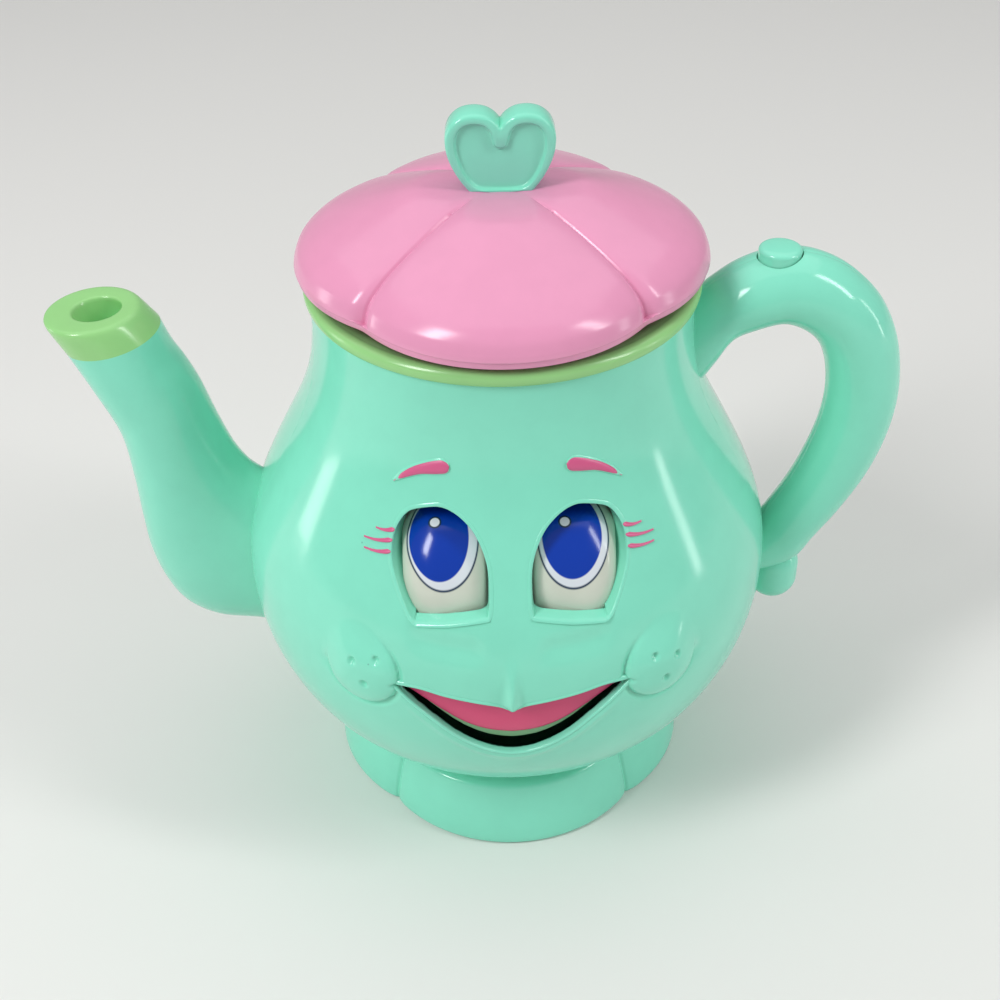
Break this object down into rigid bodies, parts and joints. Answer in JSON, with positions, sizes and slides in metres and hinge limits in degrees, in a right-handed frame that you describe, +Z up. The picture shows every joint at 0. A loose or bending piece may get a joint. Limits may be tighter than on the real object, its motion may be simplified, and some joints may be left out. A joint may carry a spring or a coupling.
{
  "type": "toy teapot",
  "caption": "Toy teapot with a smiling face that rolls its eyes and opens its mouth when the handle's thumb button is pressed; its lid lifts off.",
  "frame": {"origin": "middle of the foot's flat underside, on the table and on the body's axis", "axes": "+Z up along the body's axis; the face looks along -Y; the spout points along -X and the handle along +X"},
  "size_m": [0.2281, 0.1495, 0.2068],
  "materials": {
    "face_plastic": "polished mint moulding with pink painted brows and lashes",
    "mint_plastic": "polished mint moulding",
    "foot_plastic": "polished mint moulding",
    "spout_plastic": "polished mint moulding",
    "handle_plastic": "polished mint moulding",
    "button_plastic": "polished mint moulding",
    "heart_plastic": "polished mint moulding",
    "lime_plastic": "polished lime moulding",
    "jaw_plastic": "polished lime moulding",
    "lid_plastic": "polished pink moulding",
    "lip_plastic": "polished rose moulding",
    "eye_plastic": "polished ivory moulding with a printed blue iris",
    "inner_plastic": "plain moulded grey",
    "screw_steel": "bright zinc plating",
    "spring_steel": "drawn spring wire"
  },
  "bodies": {
    "pot": {"face_shell": "face_plastic", "rear_shell": "mint_plastic", "shell_screws": "screw_steel", "collar": "lime_plastic", "foot_ring": "foot_plastic", "base_plate": "foot_plastic", "base_screws": "screw_steel", "spout": "spout_plastic", "spout_tip": "lime_plastic", "handle_front": "handle_plastic", "handle_rear": "handle_plastic", "button_guide": "inner_plastic", "button_spring": "spring_steel", "lever_pin": "screw_steel", "jaw_pin": "screw_steel", "face_chassis": "inner_plastic", "chassis_screws": "screw_steel"},
    "lid": {"lid_dome": "lid_plastic", "lid_plug": "lid_plastic", "heart_knob": "heart_plastic", "knob_screw": "screw_steel"},
    "button": {"thumb_button": "button_plastic"},
    "lever": {"push_lever": "inner_plastic"},
    "rod": {"pull_rod": "inner_plastic"},
    "eyes": {"eye_left": "eye_plastic", "eye_right": "eye_plastic", "eye_shaft": "screw_steel", "eye_crank": "inner_plastic"},
    "jaw": {"jaw_carrier": "jaw_plastic", "lower_lip": "lip_plastic"}
  },
  "joints": [
    {"name": "eyes_roll", "type": "hinge", "parent": "pot", "child": "eyes", "pos_m": [0, -0.04058, 0.101], "axis": [1, 0, 0], "range_deg": [0, 23.25]},
    {"name": "jaw_swing", "type": "hinge", "parent": "pot", "child": "jaw", "pos_m": [0, -0.03598, 0.072], "axis": [1, 0, 0], "range_deg": [0, 9.68]},
    {"name": "rod_lift", "type": "slide", "parent": "pot", "child": "rod", "axis": [0, 0, 1], "range_m": [0, 0.00406]},
    {"name": "lever_tip", "type": "hinge", "parent": "pot", "child": "lever", "pos_m": [0.043, 0, 0.138], "axis": [0, 1, 0], "range_deg": [0, 5.41]},
    {"name": "button_press", "type": "slide", "parent": "pot", "child": "button", "axis": [0, 0, -1], "range_m": [0, 0.0027], "stiffness_N_per_m": 100, "springref_m": -0.001, "deforming": ["button_spring"]},
    {"name": "lid_lift", "type": "slide", "parent": "pot", "child": "lid", "axis": [0, 0, 1], "range_m": [0, 0.03]}
  ],
  "couplings": [
    {"joint": "eyes_roll", "follows": "button_press", "rad_per_m": 150.11},
    {"joint": "rod_lift", "follows": "button_press", "ratio": 1.5011},
    {"joint": "lever_tip", "follows": "button_press", "rad_per_m": 34.91},
    {"joint": "jaw_swing", "follows": "button_press", "rad_per_m": 62.548}
  ]
}
